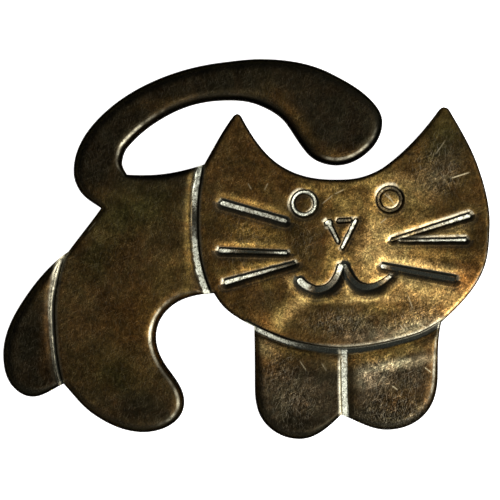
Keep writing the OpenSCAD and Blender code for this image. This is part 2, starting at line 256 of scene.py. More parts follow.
# Tints of the metal, by how thick its tarnish is
TINTS = {
    "black": (0.0135, 0.0105, 0.0056),
    "slate": (0.037, 0.028, 0.016),
    "moss": (0.028, 0.023, 0.007),
    "umber": (0.038, 0.0235, 0.0085),
    "russet": (0.054, 0.028, 0.008),
    "brown": (0.058, 0.033, 0.0095),
    "grey": (0.055, 0.042, 0.022),
    "ash": (0.115, 0.09, 0.048),
    "golden": (0.14, 0.085, 0.022),
    "tan": (0.25, 0.17, 0.07),
    "gold": (0.30, 0.19, 0.055),
    "pale_gold": (0.48, 0.32, 0.12),
    "orange": (0.40, 0.18, 0.045),
    "amber": (0.66, 0.39, 0.125),
    "silver": (0.20, 0.16, 0.10),
    "straw": (0.72, 0.60, 0.36),
}

# Share of light that every tint keeps, and the share lost on the turned-down edge, to tarnish and painted
# shade
TARNISH = 0.76
EDGE_DARK = 0.85
# Colours of patina and painted shade, of worn edges and painted highlights, of a single scratch, and of torn
# silver, partly a painted reflection, at its darkest and brightest
PATINA_AND_SHADE = (0.017, 0.018, 0.014)
WORN_HIGHLIGHT = (0.78, 0.71, 0.50)
SCRATCH = (0.6, 0.5, 0.3)
TORN = ((0.36, 0.37, 0.27), (1.0, 1.0, 0.82))
# Half-width of a single scratch
SCRATCH_W = 0.09
# How much the whole face is brushed at least
BRUSHED_LEAST = 0.25

# Tint of each form
FORM_TINTS = {"tail": "black", "body": "umber", "far_leg": "black", "head": "brown", "paws": "slate"}
# Where the forms end on the grid, apart from the set-down lines between them
PAWS_BELOW, PAWS_FROM = 26, 50
LEG_BELOW, LEG_TO = 42, 20
HEAD_FROM = 40
TAIL_ABOVE = 54
# Heights between which the tint of the body turns into that of the tail
TAIL_TINT = (47, 55)

# Soft patches of tarnish on each form: across, up, half-length, half-width, heading, tint, strength.
# Some are painted light: gold strips along the whiskers and below the mouth are painted highlights, and the
# brown strip right of the nose and the umber strip right of the paws' line are painted shade
PATCHES = {
    "head": [
        (48.5, 59.5, 8, 4.5, 60, "umber", 0.85), (57.5, 44, 3, 2.2, -20, "umber", 0.6),
        (56.5, 52.5, 4, 1.4, -30, "umber", 0.3), (55, 55.5, 5, 2, -40, "russet", 0.6),
        (43.5, 47, 9, 2, 90, "umber", 0.8), (51.5, 43, 6.5, 1.7, -12, "golden", 0.6),
        # Gold strips above the left whiskers, on this line and the next: painted highlights
        (49.5, 35.6, 5.5, 1.1, 10, "golden", 0.4), (50.8, 49, 6, 0.5, -15, "gold", 0.35),
        (50.8, 40.3, 6, 0.5, -1, "gold", 0.4), (51, 35.7, 6, 0.5, 16, "gold", 0.2),
        (62.3, 40.5, 4.8, 4, 80, "umber", 0.75), (67.5, 51, 5.5, 2.2, 0, "gold", 0.35),
        (75.8, 45.2, 3.4, 2.4, 80, "gold", 0.6), (76.3, 38.5, 5.4, 4.4, -10, "pale_gold", 0.52),
        (70.5, 37.5, 3, 2, 60, "gold", 0.6), (79.5, 49.5, 5, 4.4, 0, "gold", 0.95),
        (85, 51, 6, 3.4, 50, "tan", 0.55), (75.2, 50.5, 1.6, 3.6, 0, "brown", 0.4),
        (83.5, 56, 6, 1.8, 42, "brown", 0.6), (90.5, 61, 7.5, 4.6, 62, "moss", 0.9),
        (90.5, 55.6, 5, 3.4, 60, "grey", 0.8), (89, 53.2, 4, 2.2, 50, "ash", 0.5),
        (96, 46, 9, 3.6, 97, "umber", 0.5), (87, 47.8, 5, 1.6, 12, "brown", 0.3),
        # Gold strips beside the right whiskers, on this line and the next: painted highlights
        (87, 43.4, 6.5, 1, 8, "gold", 0.5), (88, 38.2, 7, 1.2, -7, "gold", 0.85),
        (85.8, 36.1, 8.5, 0.8, -10, "pale_gold", 0.75), (84, 31.4, 5.5, 1.2, -8, "gold", 0.6),
        (92.6, 30.2, 5.4, 3, 48, "orange", 0.9), (89, 29.9, 6, 1.9, -8, "pale_gold", 0.9),
        (88, 30.6, 4.5, 1.6, -10, "amber", 0.7), (92.6, 28.4, 3.5, 1.2, 50, "amber", 0.4),
        (81.8, 53.3, 2.5, 1, -20, "pale_gold", 0.5), (81, 28.9, 2.5, 0.9, 10, "pale_gold", 0.5),
        (54.9, 42.6, 2.5, 1, -10, "golden", 0.6), (83.4, 32, 4, 1.2, -8, "pale_gold", 0.9),
        (78, 26.8, 4, 1.3, 10, "gold", 0.6), (76.4, 34.7, 3.2, 1.5, -6, "amber", 0.6),
        (92.5, 43.4, 3, 1.1, 8, "pale_gold", 0.6), (70, 48.6, 3.6, 1.6, 0, "gold", 0.6),
        (74.2, 52.6, 3, 1.6, 0, "gold", 0.5), (84.5, 48.2, 3.5, 2.5, 40, "gold", 0.5),
        (76.5, 42.8, 2.5, 2.4, 80, "pale_gold", 0.5), (80.3, 38.9, 3, 1.1, 0, "pale_gold", 0.6),
        (70.9, 30.6, 1.6, 1, 90, "pale_gold", 0.5), (54, 32.6, 3, 1.4, -20, "golden", 0.8),
        (48, 59.5, 5.5, 3, 60, "russet", 0.6), (83.5, 25.2, 5.5, 1.9, 18, "tan", 0.55),
        (84.5, 23.2, 6, 0.9, 20, "straw", 0.3), (75.5, 21.4, 5, 1.4, 8, "silver", 0.7),
        (70.5, 24, 7.5, 2.8, 0, "grey", 0.9), (66, 24.5, 2.6, 2.6, 0, "umber", 0.5),
        (57.4, 25.6, 4, 1.6, 50, "gold", 0.95), (54.2, 24.2, 2.2, 1.2, -35, "orange", 0.35),
        (53, 28.5, 3.6, 2.4, -20, "umber", 0.75), (47, 29.5, 3.6, 1.4, -48, "russet", 0.6),
        # Gold strips below the mouth's arcs: painted highlights
        (65.5, 28.9, 4, 0.7, 0, "gold", 0.8), (75.5, 28.9, 5.4, 0.7, 4, "pale_gold", 0.75),
        (67.2, 37.5, 3.8, 1, 75, "gold", 0.7), (60.2, 27.2, 4.4, 1.3, 44, "pale_gold", 0.7),
        (54.5, 29.2, 4.5, 2.2, -15, "umber", 0.65), (65, 26.6, 3.2, 1.8, 5, "umber", 0.7),
        # Brown strip right of the nose, first on this line: painted shade
        (73.9, 43.6, 2.8, 0.9, 78, "brown", 0.85), (57.2, 32, 1.6, 2.4, 60, "umber", 0.5),
        (59.5, 32.2, 1.6, 0.9, -40, "pale_gold", 0.5), (60.3, 53.4, 2.6, 1, -20, "golden", 0.5),
    ],
    "body": [
        (38.3, 41, 13, 1, 88, "golden", 0.6), (26, 24, 10, 5, 80, "russet", 0.9),
        (34, 33, 6, 3, 60, "golden", 0.35), (29.5, 25.5, 4, 2.2, 80, "golden", 0.35),
        (27, 47, 9, 4.5, 10, "moss", 0.95), (20, 38, 7, 3, 55, "moss", 0.7),
        (24, 13, 7, 4, -30, "moss", 0.85), (28, 6.5, 9, 4.5, 0, "black", 0.9),
        (33.5, 4, 3, 2.5, -40, "black", 0.9), (67, 58.5, 6, 1.4, 5, "brown", 0.6),
        (60, 65.4, 7.5, 1.6, -52, "brown", 0.9), (42, 69.6, 14, 1.2, 5, "brown", 0.5),
        (28, 61.5, 7, 1.2, 52, "brown", 0.6),
    ],
    "far_leg": [
        (9.6, 23, 8, 1.3, 86, "russet", 0.8), (8, 31, 3, 1.6, 60, "brown", 0.6),
    ],
    "paws": [
        (56, 18.6, 3.2, 1.2, -18, "russet", 0.35), (59.5, 16.8, 7, 2.2, -8, "brown", 0.7),
        (60, 17.9, 7, 0.8, -10, "golden", 0.6), (54.6, 16.5, 3, 3.5, 0, "russet", 0.9),
        (60.5, 8.5, 6.5, 3.4, 0, "grey", 0.3), (61, 2.4, 9, 3.4, 0, "black", 0.95),
        (80.5, 3.6, 9, 2.8, 8, "black", 0.85), (82, 8.5, 5.5, 3, 0, "umber", 0.85),
        # Umber strip right of the paws' line, first on this line: painted shade
        (72.2, 11, 1, 6, 0, "umber", 0.85), (75.6, 12.6, 2.6, 2.6, 0, "silver", 0.85),
        (87.6, 14, 7, 1.2, 88, "orange", 0.15), (53.6, 19, 2.2, 1.6, -30, "tan", 0.6),
        (78.5, 17.7, 8.5, 1.2, 12, "gold", 0.8), (82.2, 15.6, 5.2, 0.8, 10, "straw", 0.6),
        (60.5, 14, 7.5, 1.3, -3, "black", 0.6),
    ],
}

# Places where the surface is brushed bright: across, up, half-length, half-width, heading, strength
BRUSHED = [
    (84, 25, 8, 3, 18, 0.9), (70, 24, 9, 3.5, 0, 0.85), (88, 57, 9, 5, 50, 0.6),
    (91, 53.5, 6, 4, 50, 0.7), (77.5, 13.5, 5, 4, 10, 1), (84, 13, 4, 5, 0, 0.7), (60, 8, 7, 8, 0, 0.65),
    (22, 30, 9, 14, 0, 0.3), (92, 32, 6, 4, 45, 0.5), (57, 14, 6, 8, 0, 0.65), (80, 6.5, 8, 5, 0, 1),
    (62.5, 41, 5, 6, 0, 0.5), (50, 40, 8, 12, 0, 0.5),
]

# Single scratches: across and up of each end on the grid, and how bright
HAIRLINES = [
    (91.7, 53.5, 96.1, 54.9, 0.75), (65.4, 48.2, 68, 50.3, 0.3), (68, 50.3, 70.3, 51.4, 0.3),
    (76.4, 52.4, 80.2, 48.7, 0.5), (78.8, 50.9, 81, 47.2, 0.35), (77.4, 44.3, 79, 45.6, 0.4),
    (81.4, 23.8, 82.9, 21.9, 0.5), (82.2, 24, 83.3, 22.4, 0.4), (85.2, 23.9, 87.4, 22.8, 0.5),
    (50.3, 52.7, 51.2, 51.2, 0.2), (54.6, 52.8, 53.7, 51, 0.2), (83.1, 29.9, 84.3, 26.6, 0.3),
    (60.9, 16.4, 62.5, 14, 0.2), (65.4, 15.9, 66.6, 14, 0.15), (79.8, 11.2, 81.2, 10.2, 0.5),
    (86.5, 15, 88.1, 13.7, 0.5), (88.6, 58.2, 91, 61.5, 0.2), (17.5, 42.6, 19.4, 44.9, 0.2),
]

# Camera: the point of the drawing in its middle, the height there, and its distance and width of view
VIEW_MIDDLE = (26.43, 20.25)
VIEW_HEIGHT = 1.2
VIEW_DISTANCE = 350
VIEW_WIDTH = 53.45
SENSOR_W = 36

# Light from all round: its strength on the side away from the key light and on its own side, and how far
# a direction leans to the key light, from -1 to 1, where the change begins and ends
AMBIENT = (0.25, 1.3)
AMBIENT_TURN = (-0.75, 0.6)
# The floor is a light table, which keeps its shadows pale
FLOOR_GLOW = 1.0
# Half the floor's width, and how far it lies below the brooch, in metres
FLOOR_HALF = 1.5
FLOOR_DROP = 0.00001
# The key light: azimuth, elevation, distance and size in metres, radiance
KEY_LIGHT = (-40, 42, 1.0, 0.8, 5.0)

# Turn in radians below which an arc counts as straight
STRAIGHT = 0.02


def smooth(x):
    """0 below 0 and 1 above 1, with a soft start and end between them."""
    x = np.clip(x, 0, 1)
    return x * x * (3 - 2 * x)


def bell(x):
    """1 at 0, falling off to both sides."""
    return np.exp(-x * x)


def band(x, low, high, soft):
    """1 from low to high, with soft ends."""
    return smooth((x - low) / soft + 0.5) * smooth((high - x) / soft + 0.5)


def strip(past, middle, spread, strength):
    """A soft strip along a mark, past its side."""
    return bell((past - middle) / spread) * strength


def way(heading):
    """Unit vector of a heading in degrees."""
    a = math.radians(heading)
    return np.array([math.cos(a), math.sin(a)])


def curve(knots, step):
    """Points along a run of knots, about step millimetres apart, with the knots' further columns."""
    rows = []
    for a, b in zip(knots, knots[1:]):
        p, q = np.array(a[:2], float), np.array(b[:2], float)
        t = math.radians(abs((b[2] - a[2] + 180) % 360 - 180))
        share = 1 / 3 if t < STRAIGHT else 2 / 3 * math.tan(t / 4) / math.sin(t / 2)
        reach = np.linalg.norm(q - p) * share
        c, d = p + reach * way(a[2]), q - reach * way(b[2])
        count = max(2, math.ceil(np.linalg.norm((q - p) * GRID) / step))
        for s in np.arange(count) / count:
            r = 1 - s
            at = p * r**3 + 3 * c * r * r * s + 3 * d * r * s * s + q * s**3
            rows.append([*(at * GRID), *(u * r + v * s for u, v in zip(a[3:], b[3:]))])
    last = knots[-1]
    rows.append([*(np.array(last[:2]) * GRID), *last[3:]])
    return np.array(rows)


def tree_of(points):
    tree = kdtree.KDTree(len(points))
    for i, (x, y) in enumerate(points):
        tree.insert((x, y, 0), i)
    tree.balance()
    return tree


class Path:
    """A dense line on the figure: its points, and the columns that change along it."""

    def __init__(self, rows, closed=False):
        self.points = rows[:, :2]
        self.columns = rows[:, 2:]
        self.closed = closed
        ahead = np.roll(self.points, -1, 0)
        self.spans = (ahead - self.points) if closed else (ahead - self.points)[:-1]
        self.lengths = np.linalg.norm(self.spans, axis=1)
        self.starts = np.concatenate([[0], np.cumsum(self.lengths)])[:len(self.spans)]
        self.length = self.lengths.sum()
        self.tree = tree_of(self.points)

    def locate(self, points):
        """How far along and how far to the left each point lies, the columns there, and the way to it."""
        near = np.array([self.tree.find((x, y, 0))[1] for x, y in points])
        n = len(self.spans)
        best = None
        for back in (1, 0):
            i = (near - back) % n if self.closed else np.clip(near - back, 0, n - 1)
            span, length = self.spans[i], self.lengths[i]
            away = points - self.points[i]
            t = (away * span).sum(1) / length**2
            low = np.where((i == 0) & (not self.closed), -np.inf, 0)
            high = np.where((i == n - 1) & (not self.closed), np.inf, 1)
            t = np.clip(t, low, high)
            rest = away - span * t[:, None]
            gap = np.linalg.norm(rest, axis=1)
            side = np.sign(span[:, 0] * away[:, 1] - span[:, 1] * away[:, 0])
            u = np.clip(t, 0, 1)[:, None]
            columns = self.columns[i] * (1 - u) + self.columns[(i + 1) % len(self.columns)] * u
            found = (self.starts[i] + t * length, gap * side, columns, rest)
            if best is None:
                best, best_gap = found, gap
            else:
                nearer = gap < best_gap
                best = tuple(np.where(nearer if new.ndim == 1 else nearer[:, None], new, old)
                             for new, old in zip(found, best))
        return best

    def normals(self):
        """Unit normals to the left of the line."""
        if self.closed:
            t = np.roll(self.points, -1, 0) - np.roll(self.points, 1, 0)
        else:
            t = np.gradient(self.points, axis=0)
        t /= np.linalg.norm(t, axis=1)[:, None]
        return np.stack([-t[:, 1], t[:, 0]], 1)


def outline_path():
    """The outline. Its columns: share of the turned-down edge, how bright it is worn, and 1 at the tail."""
    runs = []
    for name, knots in OUTLINE_RUNS.items():
        rows = curve(knots, EDGE_STEP)[:-1]
        runs.append(np.hstack([rows, np.full((len(rows), 1), float(name == "tail"))]))
    return Path(np.vstack(runs), closed=True)


def stroke(a, b, start, end):
    """Rows of a straight stroke from a to b, with further columns that run from start to end."""
    p, q = np.array(a) * GRID, np.array(b) * GRID
    count = math.ceil(np.linalg.norm(q - p) / LINE_STEP)
    t = np.linspace(0, 1, count + 1)[:, None]
    return np.hstack([p + (q - p) * t, np.array(start) * (1 - t) + np.array(end) * t])


def mark_paths():
    """The whiskers, the nose and the mouth: each a path, the width of its sides, the shine of its upper
    side, and whether it is the mouth's.

    The columns of a path are half its floor's width and that floor's brightness.
    """
    paths = []
    half = WHISKER[0] / 2
    for ax, ay, bx, by, share_a, share_b, shine_a, shine, shine_b, lip in WHISKERS:
        middle = ((ax + bx) / 2, (ay + by) / 2)
        half_way = (half * (share_a + share_b) / 2, shine)
        first = stroke((ax, ay), middle, (half * share_a, shine_a), half_way)
        second = stroke(middle, (bx, by), half_way, (half * share_b, shine_b))
        paths.append((Path(np.vstack([first[:-1], second])), WHISKER[1] * share_a**0.5, lip, False))
    half = NOSE_LINE[0] / 2
    for ax, ay, bx, by, share_a, share_b, shine in NOSE:
        rows = stroke((ax, ay), (bx, by), (half * share_a, shine), (half * share_b, shine))
        paths.append((Path(rows), NOSE_LINE[1], NOSE_LIP, False))
    for lip, knots in MOUTH:
        rows = curve(knots, LINE_STEP)
        rows[:, 2] *= MOUTH_LINE[0] / 2
        paths.append((Path(rows), MOUTH_LINE[1], lip, True))
    return paths


OUTLINE = outline_path()
LINES = {name: (*sizes, Path(curve(knots, LINE_STEP))) for name, (*sizes, knots) in SET_DOWN.items()}
MARKS = mark_paths()
EYE_MIDDLES = [(np.array((x, y)) * GRID, *looks) for x, y, *looks in EYES]


def swell(points, size, seed):
    """Slow noise between -1 and 1, size millimetres across."""
    return np.array([noise.noise((x / size, y / size, seed)) for x, y in points])


def stain(wear_and_light, kind, amount):
    """Raises one kind of wear to an amount, where it is less."""
    np.maximum(wear_and_light[kind], amount, out=wear_and_light[kind])


def set_down_depth(o, side, floor, slope, depth):
    """Depth across a set-down line, o to the left of the upper form's edge."""
    lip = LIP_H * smooth(1 + o / LIP_W)
    steep = LIP_H + (depth - LIP_H) * smooth(o / side)
    rise = depth * (1 - np.clip((o - side - floor) / slope, 0, 1))**SLOPE_POWER
    return np.where(o < 0, lip, np.where(o < side + floor, steep, rise))


def set_lines_down(points, ragged, wear_and_light):
    """Depth of the set-down lines at each point, and how far left of each upper form's edge it lies."""
    deep = np.zeros(len(points))
    forms = {}
    for name, (depth, floor_w, slope_w, glow, slope_shade, lit, path) in LINES.items():
        s, o, columns, away = path.locate(points)
        width, shine, worn_highlight, lip = columns.T
        side, floor, slope = STEP_SIDE * width, floor_w * width, slope_w * width
        fade = smooth(1 + s / LINE_END) * smooth(1 + (path.length - s) / LINE_END)
        np.maximum(deep, set_down_depth(o, side, floor, slope, depth) * fade, out=deep)
        forms[name] = o
        past = o - side - floor

        # The floor is bare silver, partly a painted reflection, where it is bright, and black with patina and
        # painted shade elsewhere; the steep side gets a painted highlight where it faces the light and
        # painted shade where it faces away, and a dark line runs along its foot
        facing = smooth((away @ LIGHT_WAY / np.maximum(np.abs(o), NEAR) - 0.3) / 0.4) * (o > 0)
        on_side = band(o, 0, side * 0.7, 0.08) * fade
        on_floor = smooth((o - side * 0.95) / 0.09) * smooth(0.5 - (past + ragged) / 0.1) * fade
        bright = band((o - side + ragged) / floor, *lit, 0.12) * np.clip(shine, 0, 1)
        groove = bell((o - side * 0.92) / 0.055) * fade
        stain(wear_and_light, "silver", on_floor * bright**1.5)
        stain(wear_and_light, "patina_and_shade", np.maximum(on_side * (1 - facing), on_floor * (1 - bright)))
        stain(wear_and_light, "patina_and_shade", groove * 0.9)

        # Painted highlights, partly wear, where the slope starts and along the upper form's edge
        edge = bell((past + ragged - 0.08) / (0.05 + 0.12 * worn_highlight**2)) * fade
        on_lip = bell((o - 0.02) / 0.13) * lip * fade
        stain(wear_and_light, "cream", np.maximum(np.maximum(edge * worn_highlight, on_side * facing), on_lip))

        # Two ripples of painted glow down the slope, and painted shade between them
        ripples = 0.5 + 0.7 * bell((past - 0.38) / 0.08) + 0.5 * bell((past - 0.72) / 0.08)
        on_slope = smooth(past / 0.1 + 0.5) * bell((past - 0.1) / (slope * 0.6)) * fade
        stain(wear_and_light, "painted_glow", on_slope * ripples * glow * 0.5)
        stain(wear_and_light, "patina_and_shade", on_slope * (1.6 - ripples) * slope_shade)
    return deep, forms


def punch_marks(points, ragged, wear_and_light):
    """Depth of the punched marks, and of the dips pressed around them, at each point."""
    dips, cuts = np.zeros((2, len(points)))
    wander = ragged * MARK_RAGGED
    for path, side, lip, is_mouth in MARKS:
        s, o, columns, away = path.locate(points)
        half, shine = columns.T
        across = np.abs(o) - half + wander
        beyond = np.maximum(-s, s - path.length)
        corner = half * END_ROUND
        m = np.hypot(np.maximum(across + corner, 0), np.maximum(beyond + corner, 0))
        m += np.minimum(np.maximum(across, beyond) + corner, 0) - corner
        unit = away / np.maximum(np.linalg.norm(away, axis=1), NEAR)[:, None]
        # Sides and lips facing the light get a painted highlight, and the side away from it is made wider,
        # with painted shade
        lit_from, more = (MOUTH_LIT_FROM, MOUTH_SHADE_MORE) if is_mouth else (LIT_FROM, SHADE_MORE)
        facing = smooth((-unit @ LIGHT_WAY - lit_from) / LIT_OVER)
        at_end = smooth(beyond / 0.05)
        facet = facing * at_end
        glint = np.maximum(facet * np.clip(half / 0.4, 0.1, 0.6), facing * lip * (1 - 0.5 * at_end))
        shade = unit @ SHADE_WAY
        side = side * (1 + more * shade)
        press_mark(m, side, shade, away @ LIGHT_WAY / half, facet, glint, shine, dips, cuts, wear_and_light)
        # A painted golden glow below the mouth, on its shaded side
        if is_mouth:
            stain(wear_and_light, "painted_glow", strip(m - side, *MOUTH_GLOW) * smooth((shade - 0.1) / 0.5))
    for middle, shine, worn_highlight, heading in EYE_MIDDLES:
        r = np.linalg.norm(points - middle, axis=1)
        unit = (points - middle) / np.maximum(r, NEAR)[:, None]
        outer = np.sign(r - EYE_D / 2)
        inner_share = np.where(outer < 0, EYE_INNER, 1)
        m = np.abs(r - EYE_D / 2) - EYE[0] / 2 + wander
        lean = (r - EYE_D / 2) / (EYE[0] / 2) * (unit @ LIGHT_WAY)
        glint = smooth((-unit @ way(heading) * outer - 0.35) / 0.5) * worn_highlight * inner_share
        shade = unit @ SHADE_WAY * outer
        side = EYE[1] * inner_share * (1 + SHADE_MORE * shade)
        press_mark(m, side, shade, lean, glint * EYE_FACET, glint, shine, dips, cuts, wear_and_light,
                   np.where(outer < 0, *EYE_DIPS))
    return dips + cuts


def press_mark(m, side, shade, lean, facet, glint, shine, dips, cuts, wear_and_light, dip_share=1.0):
    """Adds a punched mark, m outside its floor and with sides that wide, to the dips, the cuts, and the wear
    and painted light.

    shade runs from 1 on the shaded side to -1 on the other. lean runs across the floor, up to 1 toward the
    light. facet and glint are 1 where the side and the lip past it get a painted highlight.
    """
    shine = np.maximum(shine, 0)
    past = m - side
    dip = DIP_H * np.clip(1 - np.maximum(past, 0) / DIP_W, 0, 1)**2 * dip_share
    np.maximum(dips, dip, out=dips)
    wall = np.clip(1 - np.maximum(m, 0) / side, 0, 1)
    cut = MARK_DEPTH * (1 + MARK_LEAN * np.clip(lean, -1, 1)) * wall**WALL_POWER
    np.maximum(cuts, cut, out=cuts)

    on_floor = smooth(0.6 - m / 0.08)
    on_side = smooth(0.5 - past / 0.06) * (1 - on_floor)
    fading = 1 - SIDE_FADE * np.clip(shade, 0, 1) * (1 - wall)
    lip = MARK_LIP * (0.7 + 1.8 * glint)
    on_lip = bell((past - lip) / lip) * (1 - on_side)
    # Bare silver on the floor, partly a painted reflection; painted highlights on lit sides and lips; patina
    # and painted shade on the other sides, with a painted shadow below; a painted glow above and around
    stain(wear_and_light, "silver", on_floor * shine**2)
    stain(wear_and_light, "cream", np.maximum(on_side * facet, on_lip * (0.05 + 0.8 * glint)))
    stain(wear_and_light, "patina_and_shade", np.maximum(on_side * (1 - facet) * fading, on_floor * (1 - shine)))
    stain(wear_and_light, "patina_and_shade", strip(past, *MARK_SHADOW) * smooth(shade / 0.6) * (past > 0))
    above = strip(past, *MARK_GLOW) * smooth(-shade / 0.6) * (past > 0)
    stain(wear_and_light, "painted_glow", np.maximum(above, strip(past, *MARK_RING)) * dip_share)


def edge_wear_and_light(inside, wide, facing, worn_highlight, ragged, wear_and_light):
    """The turned-down edge: dark with tarnish and painted shade, with painted highlight and glow facing the
    light.
    """
    bright = bell((inside + ragged * 0.6 - wide * 0.5) / (wide * (0.03 + 0.045 * worn_highlight)))
    stain(wear_and_light, "cream", bright * facing * worn_highlight)
    rim = smooth(1.4 - inside / (wide * 0.2))
    bend = smooth(1.15 - inside / wide) * (0.92 - 0.4 * worn_highlight)
    stain(wear_and_light, "edge", np.maximum(rim, bend) * (1 - 0.6 * facing * worn_highlight))
    stain(wear_and_light, "patina_and_shade", wear_and_light["edge"] * 0.3)
    stain(wear_and_light, "painted_glow", bell((inside - wide * 0.8) / (wide * 0.35)) * facing * (0.2 + 0.3 * worn_highlight))


def face(points):
    """Height, wear and painted light of the face at each point, and how far it lies from each upper form's
    edge.
    """
    _, offset, columns, away = OUTLINE.locate(points)
    inside = np.maximum(-offset, 0)
    share, worn_highlight, _ = columns.T
    wide = ROLL_W * share**ROLL_POWER
    u = np.clip(1 - inside / wide, 0, 1)
    roll = ROLL_H * share * (1 - np.sqrt(1 - u * u))
    ragged = RAGGED * swell(points, *RAGGED_SWELL)
    wear_and_light = {kind: np.zeros(len(points)) for kind in ("silver", "patina_and_shade", "cream", "painted_glow", "edge")}
    deep, forms = set_lines_down(points, ragged, wear_and_light)
    deep = np.maximum(deep, punch_marks(points, ragged, wear_and_light))
    hills = sum(height * swell(points, size, seed) for height, size, seed in HILLS)
    z = FIG_DEPTH - np.hypot(roll, deep) + (hills - HILLS[0][0]) * smooth(inside / HILLS_IN)
    # Painted highlight and glow where the turned-down edge faces the light
    facing = smooth((away @ LIGHT_WAY / np.maximum(inside, NEAR) * -1 - 0.1) / 0.6)
    edge_wear_and_light(inside, wide, facing, np.maximum(worn_highlight, 0)**2, ragged, wear_and_light)
    return z, wear_and_light, forms


def loops_of_mark(path, levels):
    """Rows of points around a mark, at each level outside its edge."""
    points, normals = path.points, path.normals()
    half = path.columns[:, 0]
    tangents = np.stack([normals[:, 1], -normals[:, 0]], 1)
    along = np.concatenate([path.starts, [path.length]])
    rows = []
    for level in levels:
        keep = (along >= -min(level, 0)) & (along <= path.length + min(level, 0))
        wide = keep & (half + level > NEAR / 2)
        across = (normals * (half + level)[:, None])[wide]
        rows += [points[wide] + across, points[wide] - across]
        for i, sign in ((0, -1), (-1, 1)):
            out = tangents[i] * sign
            h = half[i] + min(level, 0)
            if h <= NEAR:
                continue
            cross = np.arange(-h, h + TINY, LINE_STEP * 0.8)
            rows.append(points[i] + out * level + cross[:, None] * normals[i])
            if level > 0:
                turns = np.linspace(0, math.pi / 2, max(2, math.ceil(level / LINE_STEP)) + 1)[:, None]
                for side in (-1, 1):
                    corner = points[i] + normals[i] * half[i] * side
                    rows.append(corner + level * (np.sin(turns) * out + np.cos(turns) * normals[i] * side))
    return np.vstack(rows)


def spread(groups, rim, spacing_of_last, inset):
    """Joins groups of points, each clear of those before it, and keeps them inside the outline."""
    kept = rim.copy()
    for number, group in enumerate(groups):
        group = group[-OUTLINE.locate(group)[1] > inset]
        apart = spacing_of_last if number == len(groups) - 1 else CLOSE
        tree = tree_of(kept)
        clear = [tree.find((x, y, 0))[2] > apart for x, y in group]
        group = group[np.array(clear)]
        own = tree_of(group)
        drop = set()
        for i, (x, y) in enumerate(group):
            if i not in drop:
                drop.update(j for _, j, _ in own.find_range((x, y, 0), CLOSE) if j > i)
        kept = np.vstack([kept, group[[i for i in range(len(group)) if i not in drop]]])
    return kept


def lattice(step):
    """Points of a hexagonal lattice over the figure."""
    low, high = OUTLINE.points.min(0), OUTLINE.points.max(0)
    rows = np.arange(low[1], high[1], step * math.sqrt(3) / 2)
    return np.array([(x, y) for k, y in enumerate(rows)
                     for x in np.arange(low[0] + step / 2 * (k % 2), high[0], step)])


def inset_row(inset, slack):
    """The outline moved inward, without the points that come nearer to another part of it than slack says."""
    inset = np.broadcast_to(inset, len(OUTLINE.points))
    row = OUTLINE.points - OUTLINE.normals() * inset[:, None]
    return row[-OUTLINE.locate(row)[1] > slack * inset]


def fill(points, rim_count):
    """Triangles over the points, inside the rim that the first ones make."""
    edges = [(i, (i + 1) % rim_count) for i in range(rim_count)]
    verts, _, faces, origins, _, _ = delaunay_2d_cdt([Vector(p) for p in points], edges, [], 1, 1e-6)
    assert len(verts) == len(points), "two points of the sheet coincide"
    order = [o[0] for o in origins]
    return [tuple(order[i] for i in f) for f in faces]


def face_points():
    """Points of the face: rows along the edge, the lines and the marks, and a lattice between them."""
    wide = ROLL_W * OUTLINE.columns[:, 0]**ROLL_POWER
    edge_rows = [inset_row(wide * (1 - math.cos(math.radians(angle))), 0.93) for angle in EDGE_ANGLES]
    line_rows = []
    for _, floor, slope, *_, path in LINES.values():
        width = path.columns[:, :1]
        normals = path.normals()
        end = STEP_SIDE + floor
        on_floor = np.linspace(STEP_SIDE, end, math.ceil(floor / LINE_STEP) + 1)[1:]
        across = (*SIDE_ROWS, *on_floor, *(end + o for o in SLOPE_ROWS), end + slope)
        line_rows += [path.points + normals * (width if o > 0 else 1) * o for o in across]
    mark_rows = [loops_of_mark(path, MARK_ROWS) for path, *_ in MARKS]
    for middle, *_ in EYE_MIDDLES:
        for level in MARK_ROWS:
            for r in (EYE_D / 2 + EYE[0] / 2 + level, EYE_D / 2 - EYE[0] / 2 - level):
                if r > 0.1 and level > -EYE[0] / 2:
                    turns = np.arange(0, 2 * math.pi, LINE_STEP / r)
                    mark_rows.append(middle + r * np.stack([np.cos(turns), np.sin(turns)], 1))
    groups = [np.vstack(edge_rows), np.vstack(mark_rows), np.vstack(line_rows), lattice(FACE_STEP)]
    return spread(groups, OUTLINE.points, FACE_STEP * 0.62, NEAR)


def back_points():
    """Points of the back: its rim, the wall of the hollow, the ridges, and a lattice."""
    rim = OUTLINE.points - OUTLINE.normals() * RIM_WEAR
    wall = [inset_row(SHEET_T + o, 0.97) for o in HOLLOW_ROWS]
    ridges = []
    for _, floor, *_, path in LINES.values():
        middle = (STEP_SIDE + floor) / 2
        ridges += [path.points[::2] + path.normals()[::2] * (middle + o) for o in RIDGE_ROWS]
    groups = [np.vstack(wall), np.vstack(ridges), lattice(BACK_STEP)]
    return spread(groups, rim, BACK_STEP * 0.6, RIM_WEAR * 1.5)


def back(points):
    """Height of the back at each point, with its hollow and ridges, and how far inside the outline it is."""
    inside = -OUTLINE.locate(points)[1]
    ridge = np.zeros(len(points))
    for depth, floor, *_, path in LINES.values():
        s, o = path.locate(points)[:2]
        fade = smooth(s / RIDGE_END) * smooth((path.length - s) / RIDGE_END)
        across = np.abs(o - (STEP_SIDE + floor) / 2) / RIDGE_W
        ridge = np.maximum(ridge, RIDGE_H * depth / STEP_DEPTH * (1 - smooth(across)) * fade)
    height, size, seed = BACK_HILLS
    ceiling = FIG_DEPTH - SHEET_T - ridge + height * swell(points, size, seed)
    return ceiling * smooth((inside - SHEET_T - HOLLOW_WALL[0]) / HOLLOW_WALL[1]), inside


